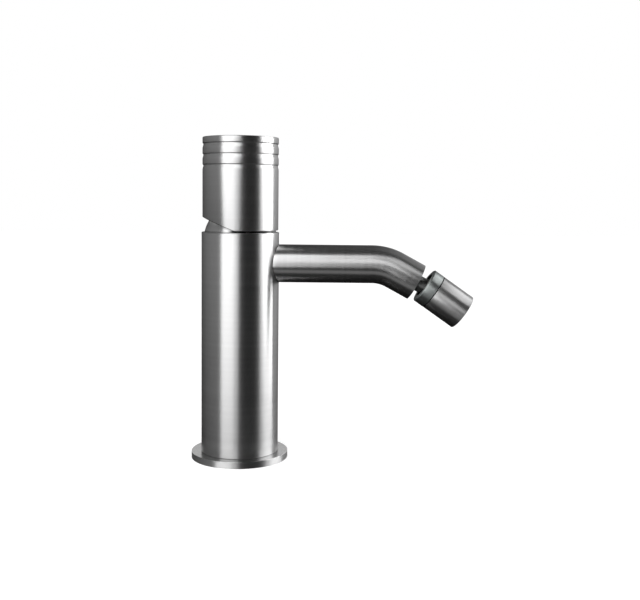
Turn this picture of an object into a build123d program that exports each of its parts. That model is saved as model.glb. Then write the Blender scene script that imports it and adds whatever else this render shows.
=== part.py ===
from build123d import *

import os
from math import cos, radians, sin, sqrt, tan

# Single-lever bidet mixer: a steel column on a round base flange, a turning and tilting handle
# over a domed cartridge cover, and a bent side spout with a ball-jointed spray nozzle.
# Millimetres, +Z up. The origin is the column's centre on the deck, under the base flange.
# +X points from the column along the spout, and the two supplies lie along Y.

# Column shell and base flange
body_diameter = 40.0
body_height = 117.8  # from the deck to the shell's rim
shell_wall = 2.0
rim_chamfer = 0.3
foot_chamfer = 0.2
flange_overhang = 5.1
flange_thickness = 3.4
flange_chamfer = 0.35

# Handle
handle_inset = 0.45  # from the shell's side in to the handle's
handle_height = 47.4
handle_gap = 1.05  # between the shell's rim and the handle
handle_wall = 1.8
handle_top_thickness = 3.0
handle_edge_chamfer = 0.3
handle_tilt = 18.0
wedge_angle = 21.4  # of the cut under the handle's back
wedge_offset = 2.0  # from the column's axis back to where the cut starts
groove_count = 3
groove_width = 2.0
groove_depth = 0.45
groove_pitch = 5.4
first_groove_drop = 4.45  # from the handle's top to the first groove's middle

# Dome over the cartridge, and the pivot that the handle tilts about
pivot_drop = 3.8  # below the shell's rim
dome_rim_inset = 1.54  # from the shell's side in to the dome's foot
dome_wall = 1.5
dome_gap = 0.35  # to the hollow under the handle
dome_mouth_radius = 11.0
dome_spigot_height = 5.15

# Spout
spout_diameter = 19.7
spout_wall = 1.2
spout_axis_drop = 16.05  # below the shell's rim
spout_reach = 68.3  # from the column's axis to where the bend starts
spout_bend_radius = 25.0
spout_bend_angle = 28.5
spout_tail = 12.7  # straight length after the bend
root_gap = 0.25  # from the valve core to the spout's root

# Ball joint and spray nozzle
ball_stand_off = 10.6  # from the spout's end face to the ball's centre
neck_radius = 4.2
stud_bore_radius = 2.6
nozzle_droop = 6.5  # how far the nozzle hangs below the spout's own axis at rest
collar_inset = 0.25  # from the spout's side in to the collar's
collar_wall = 1.05
collar_length = 5.6
collar_reach = 6.2  # from the ball's centre back to the collar's open face
seam_width = 0.45
nozzle_inset = 0.3  # from the spout's side in to the nozzle's
nozzle_length = 18.6
nozzle_chamfer = 0.3

# Fits and clearances
close_fit = 0.05  # between pieces that are fixed together
running_fit = 0.05  # between a turning piece and its seat
slide_gap = 0.2  # between pieces that slide or turn inside the cartridge
overrun = 1.0  # how far a cutting shape passes the face that it cuts

# Base block, which closes the column's foot
base_block_height = 18.6
spigot_wall = 0.6  # from the spigot's side to the flange screws' heads
inlet_thread_radius = 4.46  # M10 x 1, minor diameter
inlet_thread_depth = 10.0
stud_hole_margin = 1.6  # from the hole to the spigot's side
stud_hole_radius = 3.4  # M8, minor diameter
stud_hole_depth = 14.0

# Flange gasket and screws
gasket_inset = 2.2
gasket_width = 3.0
gasket_thickness = 1.2
screw_count = 3
screw_inset = 2.15  # from the block's side in to the screws' axes
screw_radius = 1.2
screw_length = 9.0
screw_head_radius = 2.2
screw_head_height = 1.2
screw_first_angle = 60.0
screw_recess_radius = 0.8
screw_recess_depth = 0.7

# Supply pipes and their rings
pipe_gap = 4.6  # between the two pipes
pipe_wall = 1.0
pipe_socket_depth = 6.0
pipe_end_gap = 0.2
pipe_ring_section = 0.7
pipe_ring_setback = 3.0

# Valve core
core_length = 46.5
core_top_drop = 5.3  # from the shell's rim to the core's shoulder
core_wall = 3.95
core_neck_height = 4.5
core_neck_wall = 1.2
core_passage_radius = 2.0
seat_ring_height = 1.5
gallery_depth = 1.8
gallery_height = 21.5
thread_gap = 0.1

# Sizes in plan that follow the cartridge, as shares of its radius
supply_place_share = 0.45  # from the middle plane to a supply's axis
housing_bore_share = 0.86
housing_neck_share = 0.87
neck_bore_share = 0.685
carrier_width_share = 0.93
lever_length_share = 0.5
lever_width_share = 0.43
lever_ball_share = 0.175
lever_waist_share = 0.12

# Cartridge housing
housing_height = 26.4  # from the seat to the shoulder
housing_shoulder_drop = 2.1  # below the core's shoulder
housing_neck_height = 9.4
housing_lip = 1.9
window_width = 8.0
window_height = 3.4
window_lift = 1.8
housing_ring_section = 0.6
housing_ring_drop = 1.6

# Cartridge base and port seals
base_height = 6.0
port_radius = 2.0
port_depth = 3.5
seal_section = 0.6
seal_land = 0.35  # from a port's bore out to its seal
channel_height = 3.0
channel_lift = 2.0

# Ceramic discs
disc_thickness = 3.6
disc_gap = 0.4
disc_port_x = 0.8
disc_port_y = 4.6
disc_port_radius = 1.6
outlet_x = -2.5
outlet_radius = 2.5
pocket_edge_x = -4.1  # the mixing pocket's edge while the valve is shut
pocket_width = 10.2
pocket_rim = 0.9
pocket_depth = 1.8

# Disc carrier
carrier_thickness = 4.15
peg_radius = 0.9
peg_length = 1.1
peg_inset = 1.5  # from the carrier's side in to a peg's axis
socket_gap = 0.15
socket_floor_gap = 0.3

# Rotor, tilt pin and lever
rotor_gap = 0.4  # from the carrier's top to the rotor
rotor_side_gap = 0.3
slot_margin = 0.1
rail_width = 2.8
rail_length = 14.0
rail_clearance = 0.35
pin_radius = 1.5
pin_inset = 0.4
lever_block_reach = 8.0  # above and below the pivot
lever_side_gap = 0.1

# Locking ring
lock_thread_step = 1.0
lock_ring_height = 6.0
notch_count = 4
notch_width = 3.0
notch_depth = 2.0

# Handle hub, grub screw and index plug
hub_height = 31.0  # from the handle's lower edge
hub_cover = 3.8  # above the lever's end
grub_height = 21.0  # from the handle's lower edge
grub_radius = 2.45
grub_length = 8.0
grub_hex_radius = 1.4
grub_hex_depth = 3.0
plug_length = 3.0
plug_recess = 0.05

# Spout nipple and its ring
nipple_radius = 6.0
nipple_wall = 1.5
nipple_inset = 0.8  # from the spout's root to the nipple's flange
nipple_flange_thickness = 5.0
nipple_ring_section = 0.6

# Spout end bush, ball stud, clip and ring
bush_recess = 0.5
bush_length = 8.2
shank_radius = 5.0
shank_overhang = 2.5  # inside the spout, past the bush
shoulder_radius = 6.4
shoulder_thickness = 0.4
clip_width = 0.9
clip_depth = 0.7
clip_height = 1.85
clip_slit = 2.0
stud_ring_section = 0.6
stud_ring_setback = 4.2

# Collar, ball seat and ball ring
seat_clearance = 0.08
throat_reach = 4.0  # from the ball's centre back to the collar's throat
mouth_flare = 0.6
collar_thread_depth = 2.2
collar_chamfer = 0.4
nozzle_spigot_wall = 0.85
seat_ring_wall = 0.42
seat_ring_start = 2.4
seat_ring_length = 3.9
seat_ring_bore_radius = 4.6
ball_ring_section = 0.78
ball_ring_angle = 52.0
chamber_web = 1.6
chamber_hole_radius = 5.9

# Aerator
nozzle_rim_wall = 0.85
washer_thickness = 1.2
washer_width = 2.4
aerator_recess = 1.0
cage_wall = 1.2
cage_ledge_drop = 2.8
cage_ledge_thickness = 0.8
cage_ledge_width = 1.0
cage_lip_thickness = 0.6
diffuser_thickness = 2.3
diffuser_hole_count = 20
diffuser_hole_radius = 0.45
diffuser_circle_radius = 4.9
grid_thickness = 1.8
grid_pitch = 1.6
grid_bar = 0.5

# The column and the handle
body_radius = body_diameter / 2
flange_radius = body_radius + flange_overhang
fitted_radius = body_radius - shell_wall - close_fit
handle_radius = body_radius - handle_inset
handle_bore_radius = handle_radius - handle_wall
handle_low = body_height + handle_gap
handle_high = handle_low + handle_height
pivot_z = body_height - pivot_drop
dome_radius = sqrt((body_radius - dome_rim_inset) ** 2 + pivot_drop**2)
hollow_radius = dome_radius + dome_gap
grub_z = handle_low + grub_height

# The base
block_top = flange_thickness + base_block_height
screw_circle_radius = fitted_radius - screw_inset
base_spigot_radius = screw_circle_radius - screw_head_radius - spigot_wall
stud_hole_x = stud_hole_radius + stud_hole_margin - base_spigot_radius
gasket_radius = flange_radius - gasket_inset
gasket_bore_radius = gasket_radius - gasket_width

# The valve core and the cartridge, from the outside in and from the seat up
cartridge_radius = fitted_radius - core_wall
gallery_radius = cartridge_radius + gallery_depth
lock_thread_radius = cartridge_radius + lock_thread_step
core_neck_radius = lock_thread_radius + core_neck_wall
dome_thread_radius = core_neck_radius + thread_gap
housing_bore_radius = cartridge_radius * housing_bore_share
housing_neck_radius = cartridge_radius * housing_neck_share
housing_neck_bore = cartridge_radius * neck_bore_share
core_high = body_height - core_top_drop
core_low = core_high - core_length
neck_high = core_high + core_neck_height
shoulder_z = core_high - housing_shoulder_drop
seat_z = shoulder_z - housing_height
lip_z = shoulder_z - housing_lip
neck_top = shoulder_z + housing_neck_height
disc_z = seat_z + base_height
moving_disc_z = disc_z + disc_thickness + running_fit
carrier_z = moving_disc_z + disc_thickness
carrier_top = carrier_z + carrier_thickness
rotor_z = carrier_top + rotor_gap

# The supplies
inlet_y = cartridge_radius * supply_place_share
pipe_radius = inlet_y - pipe_gap / 2
pipe_bore_radius = pipe_radius - pipe_wall

# The carrier, the lever, and the stroke that it gives the moving disc
carrier_width = cartridge_radius * carrier_width_share
peg_y = carrier_width / 2 - peg_inset
lever_length = cartridge_radius * lever_length_share
lever_width = cartridge_radius * lever_width_share
lever_ball_radius = cartridge_radius * lever_ball_share
lever_waist_radius = cartridge_radius * lever_waist_share
lever_ball_z = carrier_z + socket_floor_gap + lever_ball_radius
disc_stroke = (pivot_z - lever_ball_z) * sin(radians(handle_tilt))
lever_top = handle_low + hub_height - hub_cover
moving_disc_x = -disc_stroke / 2
moving_disc_radius = housing_bore_radius - disc_gap - disc_stroke / 2
rotor_radius = housing_bore_radius - rotor_side_gap
rotor_neck_radius = housing_neck_bore - slide_gap

# The spout, the ball joint and the nozzle
spout_radius = spout_diameter / 2
spout_bore_radius = spout_radius - spout_wall
spout_z = body_height - spout_axis_drop
spout_root_x = fitted_radius + root_gap
nipple_flange_x = spout_root_x + nipple_inset
nipple_end_x = nipple_flange_x + nipple_flange_thickness
spout_bend = radians(spout_bend_angle)
collar_radius = spout_radius - collar_inset
collar_thread_radius = collar_radius - collar_wall
seat_bore_radius = collar_thread_radius - nozzle_spigot_wall
ball_socket_radius = seat_bore_radius - seat_ring_wall
ball_radius = ball_socket_radius - seat_clearance
collar_back = collar_length - collar_reach
nozzle_radius = spout_radius - nozzle_inset
nozzle_start = collar_back + seam_width
nozzle_end = nozzle_start + nozzle_length
nozzle_spigot_start = collar_back - collar_thread_depth + close_fit
chamber_floor = seat_ring_start + seat_ring_length + 2 * close_fit
aerator_thread_radius = nozzle_radius - nozzle_rim_wall
aerator_start = chamber_floor + chamber_web
cage_start = aerator_start + washer_thickness
cage_end = nozzle_end - aerator_recess
cage_radius = aerator_thread_radius - close_fit
cage_bore_radius = cage_radius - cage_wall

# Places along the stud's own axis, from the ball's centre, negative towards the column
bush_front = -ball_stand_off - bush_recess
bush_back = bush_front - bush_length
shank_back = bush_back - shank_overhang
clip_front = bush_back - slide_gap
clip_back = clip_front - clip_width
clip_groove_radius = shank_radius - clip_depth


# A round bar along Z from one height to another
def bar(radius, low, high, x=0, y=0):
    return Pos(x, y, low) * Cylinder(radius, high - low, align=(Align.CENTER, Align.CENTER, Align.MIN))


# A round sleeve along Z
def sleeve(outer, inner, low, high, x=0, y=0):
    return bar(outer, low, high, x, y) - bar(inner, low - overrun, high + overrun, x, y)


# A rectangular bar along Z, centred on x and y
def block(length, width, low, high, x=0, y=0):
    return Pos(x, y, low) * Box(length, width, high - low, align=(Align.CENTER, Align.CENTER, Align.MIN))


# A cone along Z with one radius at its foot and another at its top
def cone(low_radius, high_radius, low, high):
    return Pos(0, 0, low) * Cone(
        low_radius, high_radius, high - low, align=(Align.CENTER, Align.CENTER, Align.MIN)
    )


# A round bar along X from one x to another
def bar_x(radius, start, end, z):
    return Pos(start, 0, z) * Rot(0, 90, 0) * bar(radius, 0, end - start)


# A bar along Y through the tilt pivot
def pivot_bar(radius, length):
    return Pos(0, 0, pivot_z) * Rot(90, 0, 0) * Cylinder(radius, length)


# A ball about the tilt pivot
def pivot_ball(radius):
    return Pos(0, 0, pivot_z) * Sphere(radius)


# A rubber ring around Z, from its inner radius and the radius of its section
def rubber_ring(inner, section, z, x=0, y=0):
    return Pos(x, y, z) * Torus(inner + section, section)


# The groove around a shaft for such a ring, with a little room on both sides
def shaft_groove(shaft, section, z):
    half = section + close_fit
    return sleeve(shaft + overrun, shaft - 2 * section, z - half, z + half)


# A ring that fills that groove up to the bore around the shaft
def shaft_ring(shaft, section, z):
    return rubber_ring(shaft - 2 * section + close_fit / 2, section, z)


# The outer round edge at one end of a turned shape
def end_edge(shape, last):
    return shape.edges().filter_by(GeomType.CIRCLE).group_by(Axis.Z)[-1 if last else 0].sort_by(SortBy.RADIUS)[-1]


# The same small thing on both sides of the middle plane
sides = (-1, 1)

# The base: flange, gasket, screws and block
screw_places = [
    Rot(0, 0, screw_first_angle + 360 / screw_count * i) * Pos(screw_circle_radius, 0, 0)
    for i in range(screw_count)
]


# A countersunk screw that points up from the deck, or the hole for it where it is grown
def screw(grown=0):
    head = cone(screw_head_radius + grown, screw_radius + grown, 0, screw_head_height)
    return head + bar(screw_radius + grown, 0, screw_length + grown)


def base_flange():
    plate = bar(flange_radius, 0, flange_thickness)
    plate = chamfer(end_edge(plate, True), flange_chamfer)
    plate -= bar(base_spigot_radius + close_fit, -overrun, flange_thickness + overrun)
    plate -= sleeve(gasket_radius + close_fit, gasket_bore_radius - close_fit, -overrun, gasket_thickness)
    for place in screw_places:
        plate -= place * screw(close_fit)
    return plate


def base_gasket():
    return sleeve(gasket_radius, gasket_bore_radius, 0, gasket_thickness)


def flange_screws():
    recess = extrude(RegularPolygon(screw_recess_radius, 6), screw_recess_depth)
    return Compound([place * (screw() - recess) for place in screw_places])


# The groove in a pipe's socket that a rubber ring lies in
def pipe_groove(z, y):
    half = pipe_ring_section + close_fit
    return sleeve(pipe_radius + 2 * half, pipe_radius, z - half, z + half, 0, y)


def base_block():
    foot = bar(fitted_radius, flange_thickness, block_top) + bar(base_spigot_radius, 0, flange_thickness)
    for side in sides:
        y = side * inlet_y
        foot -= bar(inlet_thread_radius, -overrun, inlet_thread_depth, 0, y)
        foot -= bar(pipe_bore_radius, 0, block_top, 0, y)
        foot -= bar(pipe_radius + close_fit, block_top - pipe_socket_depth, block_top + overrun, 0, y)
        foot -= pipe_groove(block_top - pipe_ring_setback, y)
    foot -= bar(stud_hole_radius, -overrun, stud_hole_depth, stud_hole_x)
    for place in screw_places:
        foot -= place * screw(close_fit)
    return foot


# The column: its shell, and the pipes that stand in it
def body_shell():
    shell = sleeve(body_radius, body_radius - shell_wall, flange_thickness, body_height)
    shell = chamfer(end_edge(shell, True), rim_chamfer)
    shell = chamfer(end_edge(shell, False), foot_chamfer)
    return shell - bar_x(spout_radius + close_fit, 0, body_radius + overrun, spout_z)


def supply_pipe(side):
    low = block_top - pipe_socket_depth + pipe_end_gap
    high = core_low + pipe_socket_depth - pipe_end_gap
    return sleeve(pipe_radius, pipe_bore_radius, low, high, 0, side * inlet_y)


def pipe_o_rings():
    heights = (block_top - pipe_ring_setback, core_low + pipe_ring_setback)
    inner = pipe_radius + close_fit / 2
    return Compound([rubber_ring(inner, pipe_ring_section, z, 0, side * inlet_y) for side in sides for z in heights])


# The valve core, with the cartridge's seat, the gallery round it and the pipe sockets below
def valve_core():
    core = bar(fitted_radius, core_low, core_high) + bar(core_neck_radius, core_high, neck_high)
    core -= bar(cartridge_radius + close_fit, seat_z, core_high)
    gallery_low = seat_z + seat_ring_height
    core -= bar(gallery_radius, gallery_low, gallery_low + gallery_height)
    core -= bar(lock_thread_radius, shoulder_z, neck_high + overrun)
    for side in sides:
        y = side * inlet_y
        core -= bar(core_passage_radius, core_low, seat_z + overrun, 0, y)
        core -= bar(pipe_radius + close_fit, core_low - overrun, core_low + pipe_socket_depth, 0, y)
        core -= pipe_groove(core_low + pipe_ring_setback, y)
    return core - bar_x(nipple_radius + close_fit, 0, body_radius, spout_z)


# The cartridge: housing, base, seals, discs, carrier, rotor, tilt pin and locking ring
def cartridge_housing():
    housing = bar(cartridge_radius, seat_z, shoulder_z) + bar(housing_neck_radius, shoulder_z, neck_top)
    housing -= bar(housing_bore_radius, seat_z - overrun, lip_z)
    housing -= bar(housing_neck_bore, lip_z - overrun, neck_top + overrun)
    window_low = seat_z + window_lift
    window_high = window_low + window_height
    housing -= block(cartridge_radius, window_width, window_low, window_high, -cartridge_radius)
    return housing - shaft_groove(cartridge_radius, housing_ring_section, shoulder_z - housing_ring_drop)


def housing_o_ring():
    return shaft_ring(cartridge_radius, housing_ring_section, shoulder_z - housing_ring_drop)


def cartridge_base():
    base = bar(housing_bore_radius - close_fit, seat_z, disc_z)
    room = port_radius + seal_land + 2 * seal_section + close_fit
    for side in sides:
        base -= bar(port_radius, seat_z - overrun, seat_z + port_depth, 0, side * inlet_y)
        base -= bar(room, seat_z - overrun, seat_z + 2 * seal_section + close_fit, 0, side * inlet_y)
        base -= bar(
            disc_port_radius, seat_z + port_depth - overrun, disc_z + overrun, disc_port_x, side * disc_port_y
        )
    channel_low = seat_z + channel_lift
    channel_high = channel_low + channel_height
    base -= bar(outlet_radius, channel_low, disc_z + overrun, outlet_x)
    channel_middle = outlet_x - cartridge_radius / 2
    return base - block(cartridge_radius, 2 * outlet_radius, channel_low, channel_high, channel_middle)


def port_seals():
    inner = port_radius + seal_land
    z = seat_z + seal_section
    return Compound([rubber_ring(inner, seal_section, z, 0, side * inlet_y) for side in sides])


def fixed_disc():
    top = disc_z + disc_thickness
    disc = bar(housing_bore_radius - disc_gap, disc_z, top)
    for side in sides:
        disc -= bar(disc_port_radius, disc_z - overrun, top + overrun, disc_port_x, side * disc_port_y)
    return disc - bar(outlet_radius, disc_z - overrun, top + overrun, outlet_x)


def moving_disc():
    disc = bar(moving_disc_radius, moving_disc_z, carrier_z, moving_disc_x)
    low = moving_disc_z - overrun
    high = moving_disc_z + pocket_depth
    pocket = bar(moving_disc_radius - pocket_rim, low, high, moving_disc_x)
    pocket &= block(moving_disc_radius, pocket_width, low, high, pocket_edge_x - moving_disc_radius / 2)
    disc -= pocket
    for side in sides:
        disc -= bar(
            peg_radius + close_fit, carrier_z - peg_length - close_fit, carrier_z, moving_disc_x, side * peg_y
        )
    return disc


def disc_carrier():
    plate = bar(moving_disc_radius, carrier_z, carrier_top, moving_disc_x)
    plate &= block(2 * moving_disc_radius, carrier_width, carrier_z, carrier_top, moving_disc_x)
    for side in sides:
        plate += bar(peg_radius, carrier_z - peg_length, carrier_z, moving_disc_x, side * peg_y)
    return plate - bar(lever_ball_radius + socket_gap, carrier_z - overrun, carrier_top + overrun)


def cartridge_rotor():
    rotor = bar(rotor_radius, rotor_z, lip_z - slide_gap) + bar(rotor_neck_radius, rotor_z, neck_top)
    rail_low = carrier_z + rail_clearance
    rail_y = (carrier_width + rail_width) / 2 + slide_gap
    for side in sides:
        rotor += block(rail_length, rail_width, rail_low, rotor_z, 0, side * rail_y) & bar(
            rotor_radius, rail_low, rotor_z
        )
    slot_length = 2 * (disc_stroke + lever_ball_radius + slot_margin)
    slot_width = lever_width + 2 * lever_side_gap
    rotor -= block(slot_length, slot_width, rail_low - overrun, neck_top + overrun)
    return rotor - pivot_bar(pin_radius + close_fit, 2 * rotor_radius)


def lever_pin():
    return pivot_bar(pin_radius, 2 * (rotor_neck_radius - pin_inset))


def locking_ring():
    top = shoulder_z + lock_ring_height
    nut = sleeve(lock_thread_radius - close_fit, housing_neck_radius + close_fit, shoulder_z, top)
    notch = block(lock_thread_radius, notch_width, top - notch_depth, top + overrun, lock_thread_radius)
    for i in range(notch_count):
        nut -= Rot(0, 0, 360 / notch_count * (i + 1 / 2)) * notch
    return nut


# The dome that covers the cartridge and closes the column's top
def dome_cap():
    above = bar(dome_radius, body_height, pivot_z + dome_radius)
    dome = (pivot_ball(dome_radius) - pivot_ball(dome_radius - dome_wall)) & above
    dome += sleeve(fitted_radius, dome_thread_radius, body_height - dome_spigot_height, body_height)
    foot = pivot_ball(dome_radius) & bar(body_radius, body_height, body_height + dome_wall)
    dome += foot - bar(dome_thread_radius, body_height - overrun, body_height + dome_wall)
    return dome - bar(dome_mouth_radius, body_height, pivot_z + dome_radius + overrun)


# The lever, which is pinned in the rotor and drives the disc carrier with its ball end
def lever_stem():
    block_low = pivot_z - lever_block_reach
    block_high = pivot_z + lever_block_reach
    stem = block(lever_length, lever_width, block_low, block_high)
    stem += block(lever_length, lever_length, block_high, lever_top)
    stem += cone(lever_waist_radius, lever_width / 2, lever_ball_z, block_low)
    stem += Pos(0, 0, lever_ball_z) * Sphere(lever_ball_radius)
    return stem - pivot_bar(pin_radius + running_fit, 2 * lever_width)


# The space cut away under the handle's back, which leaves it room to tilt
def wedge():
    size = 2 * handle_radius + overrun
    cutter = Box(size, size, size, align=(Align.MAX, Align.CENTER, Align.MAX))
    return Pos(-wedge_offset, 0, handle_low) * Rot(0, wedge_angle, 0) * cutter


def handle_sleeve():
    shell = bar(handle_radius, handle_low, handle_high)
    shell = chamfer(shell.edges().filter_by(GeomType.CIRCLE), handle_edge_chamfer)
    shell -= bar(handle_bore_radius, handle_low - overrun, handle_high - handle_top_thickness)
    shell -= pivot_ball(hollow_radius)
    shell -= wedge()
    cutter_radius = ((groove_width / 2) ** 2 + groove_depth**2) / (2 * groove_depth)
    for i in range(groove_count):
        z = handle_high - first_groove_drop - i * groove_pitch
        shell -= Pos(0, 0, z) * Torus(handle_radius - groove_depth + cutter_radius, cutter_radius)
    return shell - bar_x(grub_radius + close_fit, -handle_radius - overrun, 0, grub_z)


def handle_hub():
    hub = bar(handle_bore_radius - close_fit, handle_low, handle_low + hub_height)
    hub -= pivot_ball(hollow_radius)
    hub -= wedge()
    side = lever_length + 2 * close_fit
    hub -= block(side, side, pivot_z, lever_top + close_fit)
    return hub - bar_x(grub_radius + close_fit, -handle_radius, -lever_length / 2, grub_z)


def grub_screw():
    end = -lever_length / 2 - close_fit
    start = end - grub_length
    hexagon = extrude(RegularPolygon(grub_hex_radius, 6), grub_hex_depth)
    return bar_x(grub_radius, start, end, grub_z) - Pos(start, 0, grub_z) * Rot(0, 90, 0) * hexagon


def index_plug():
    plug = bar_x(grub_radius, -handle_radius - overrun, plug_length - handle_radius, grub_z)
    return plug & bar(handle_radius - plug_recess, handle_low, handle_high)


# The spout's middle line, from the column's axis to its end face
corner_run = spout_bend_radius * tan(spout_bend / 2)
spout_corner = Vector(spout_reach + corner_run, 0, spout_z)
tail_direction = Vector(cos(spout_bend), 0, -sin(spout_bend))
spout_end = spout_corner + tail_direction * (corner_run + spout_tail)
spout_path = FilletPolyline(Vector(0, 0, spout_z), spout_corner, spout_end, radius=spout_bend_radius)
ball_centre = spout_end + tail_direction * ball_stand_off


# A round bar along the whole of that line
def spout_bar(radius):
    return sweep(Plane(origin=spout_path @ 0, z_dir=spout_path % 0) * Circle(radius), path=spout_path)


def spout_tube():
    tube = spout_bar(spout_radius) - spout_bar(spout_bore_radius)
    return tube - bar(spout_root_x, spout_z - body_radius, spout_z + body_radius)


# The nipple that carries the spout: its flange sits in the tube and its neck in the valve core
def spout_nipple():
    start = sqrt(gallery_radius**2 - nipple_radius**2)
    flange_radius_in_tube = spout_bore_radius - 2 * close_fit
    middle = nipple_flange_thickness / 2
    flange = bar(flange_radius_in_tube, 0, nipple_flange_thickness)
    flange -= shaft_groove(flange_radius_in_tube, nipple_ring_section, middle)
    nipple = bar_x(nipple_radius, start, nipple_flange_x, spout_z)
    nipple += Pos(nipple_flange_x, 0, spout_z) * Rot(0, 90, 0) * flange
    return nipple - bar_x(nipple_radius - nipple_wall, 0, nipple_end_x + overrun, spout_z)


def spout_o_ring():
    ring = shaft_ring(spout_bore_radius - 2 * close_fit, nipple_ring_section, nipple_flange_thickness / 2)
    return Pos(nipple_flange_x, 0, spout_z) * Rot(0, 90, 0) * ring


# A place at the ball's centre whose +Z points the way the water goes, this far below level
def at_ball(angle):
    return Pos(*ball_centre) * Rot(0, 90 + angle, 0)


# The ball stud and what holds it in the spout's end
stud_place = at_ball(spout_bend_angle)


def spout_end_bush():
    return stud_place * sleeve(spout_bore_radius - close_fit, shank_radius + running_fit, bush_back, bush_front)


def ball_stud():
    stud = Sphere(ball_radius) + bar(neck_radius, bush_front, 0)
    shoulder_back = bush_front + running_fit
    stud += bar(shoulder_radius, shoulder_back, shoulder_back + shoulder_thickness)
    stud += bar(shank_radius, shank_back, shoulder_back)
    stud -= sleeve(shank_radius + overrun, clip_groove_radius, clip_back - close_fit, clip_front + close_fit)
    stud -= shaft_groove(shank_radius, stud_ring_section, bush_front - stud_ring_setback)
    return stud_place * (stud - bar(stud_bore_radius, shank_back - overrun, ball_radius + overrun))


def stud_clip():
    outer = clip_groove_radius + clip_height
    clip = sleeve(outer, clip_groove_radius + close_fit, clip_back, clip_front)
    return stud_place * (clip - block(outer, clip_slit, clip_back - overrun, clip_front + overrun, outer))


def stud_o_ring():
    return stud_place * shaft_ring(shank_radius, stud_ring_section, bush_front - stud_ring_setback)


# The nozzle, whose collar and seat ring hold the ball between them
nozzle_place = at_ball(spout_bend_angle + nozzle_droop)


def swivel_collar():
    collar = bar(collar_radius, -collar_reach, collar_back)
    collar = chamfer(end_edge(collar, False), collar_chamfer)
    collar -= Sphere(ball_socket_radius)
    throat_radius = sqrt(ball_socket_radius**2 - throat_reach**2)
    collar -= cone(throat_radius + mouth_flare, throat_radius, -collar_reach, -throat_reach)
    return nozzle_place * (collar - bar(collar_thread_radius, collar_back - collar_thread_depth, collar_back))


def nozzle_housing():
    housing = bar(nozzle_radius, nozzle_start, nozzle_end)
    housing = chamfer(end_edge(housing, True), nozzle_chamfer)
    housing += bar(collar_thread_radius - close_fit, nozzle_spigot_start, nozzle_start)
    housing -= bar(seat_bore_radius, nozzle_spigot_start - overrun, chamber_floor)
    housing -= bar(chamber_hole_radius, chamber_floor - overrun, aerator_start + overrun)
    return nozzle_place * (housing - bar(aerator_thread_radius, aerator_start, nozzle_end + overrun))


# The rubber ring under the ball, or the groove for it where it is grown
def ball_ring(grown=0):
    away = ball_socket_radius + ball_ring_section
    angle = radians(ball_ring_angle)
    return Pos(0, 0, away * cos(angle)) * Torus(away * sin(angle), ball_ring_section + grown)


def ball_seat_ring():
    seat = bar(seat_bore_radius - close_fit, seat_ring_start, seat_ring_start + seat_ring_length)
    seat -= Sphere(ball_socket_radius)
    seat -= bar(seat_ring_bore_radius, 0, chamber_floor)
    return nozzle_place * (seat - ball_ring(close_fit))


def ball_o_ring():
    return nozzle_place * ball_ring()


# The aerator, which is screwed into the nozzle's outlet
def aerator_washer():
    return nozzle_place * sleeve(cage_radius, cage_radius - washer_width, aerator_start, cage_start)


def aerator_cage():
    inner = cage_bore_radius - cage_ledge_width
    ledge_start = cage_start + cage_ledge_drop
    cage = sleeve(cage_radius, cage_bore_radius, cage_start, cage_end)
    cage += sleeve(cage_bore_radius + close_fit, inner, ledge_start, ledge_start + cage_ledge_thickness)
    cage += sleeve(cage_bore_radius + close_fit, inner, cage_end - cage_lip_thickness, cage_end)
    return nozzle_place * cage


def aerator_diffuser():
    end = cage_start + cage_ledge_drop
    start = end - diffuser_thickness
    disc = bar(cage_bore_radius - close_fit, start, end)
    hole = bar(diffuser_hole_radius, start - overrun, end + overrun, diffuser_circle_radius)
    for i in range(diffuser_hole_count):
        disc -= Rot(0, 0, 360 / diffuser_hole_count * i) * hole
    return nozzle_place * disc


def outlet_grid():
    end = cage_end - cage_lip_thickness
    start = end - grid_thickness
    hole = grid_pitch - grid_bar
    clear = cage_bore_radius - cage_ledge_width - hole / 2
    steps = range(-int(clear / grid_pitch), int(clear / grid_pitch) + 1)
    places = [(i * grid_pitch, j * grid_pitch) for i in steps for j in steps]
    disc = bar(cage_bore_radius - close_fit, start, end)
    holes = [block(hole, hole, start - overrun, end + overrun, x, y) for x, y in places if x**2 + y**2 < clear**2]
    return nozzle_place * (disc - holes)


nodes = {
    "base_flange": base_flange(),
    "base_gasket": base_gasket(),
    "flange_screws": flange_screws(),
    "base_block": base_block(),
    "body_shell": body_shell(),
    "hot_pipe": supply_pipe(-1),
    "cold_pipe": supply_pipe(1),
    "pipe_o_rings": pipe_o_rings(),
    "valve_core": valve_core(),
    "cartridge_housing": cartridge_housing(),
    "housing_o_ring": housing_o_ring(),
    "cartridge_base": cartridge_base(),
    "port_seals": port_seals(),
    "fixed_disc": fixed_disc(),
    "moving_disc": moving_disc(),
    "disc_carrier": disc_carrier(),
    "cartridge_rotor": cartridge_rotor(),
    "lever_pin": lever_pin(),
    "lever_stem": lever_stem(),
    "locking_ring": locking_ring(),
    "dome_cap": dome_cap(),
    "handle_sleeve": handle_sleeve(),
    "handle_hub": handle_hub(),
    "grub_screw": grub_screw(),
    "index_plug": index_plug(),
    "spout_tube": spout_tube(),
    "spout_nipple": spout_nipple(),
    "spout_o_ring": spout_o_ring(),
    "spout_end_bush": spout_end_bush(),
    "ball_stud": ball_stud(),
    "stud_clip": stud_clip(),
    "stud_o_ring": stud_o_ring(),
    "swivel_collar": swivel_collar(),
    "nozzle_housing": nozzle_housing(),
    "ball_seat_ring": ball_seat_ring(),
    "ball_o_ring": ball_o_ring(),
    "aerator_washer": aerator_washer(),
    "aerator_cage": aerator_cage(),
    "aerator_diffuser": aerator_diffuser(),
    "outlet_grid": outlet_grid(),
}

os.makedirs("parts", exist_ok=True)
for name, shape in nodes.items():
    export_step(shape, f"parts/{name}.step")
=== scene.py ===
from math import asin, cos, degrees, pi, radians, sin

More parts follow.
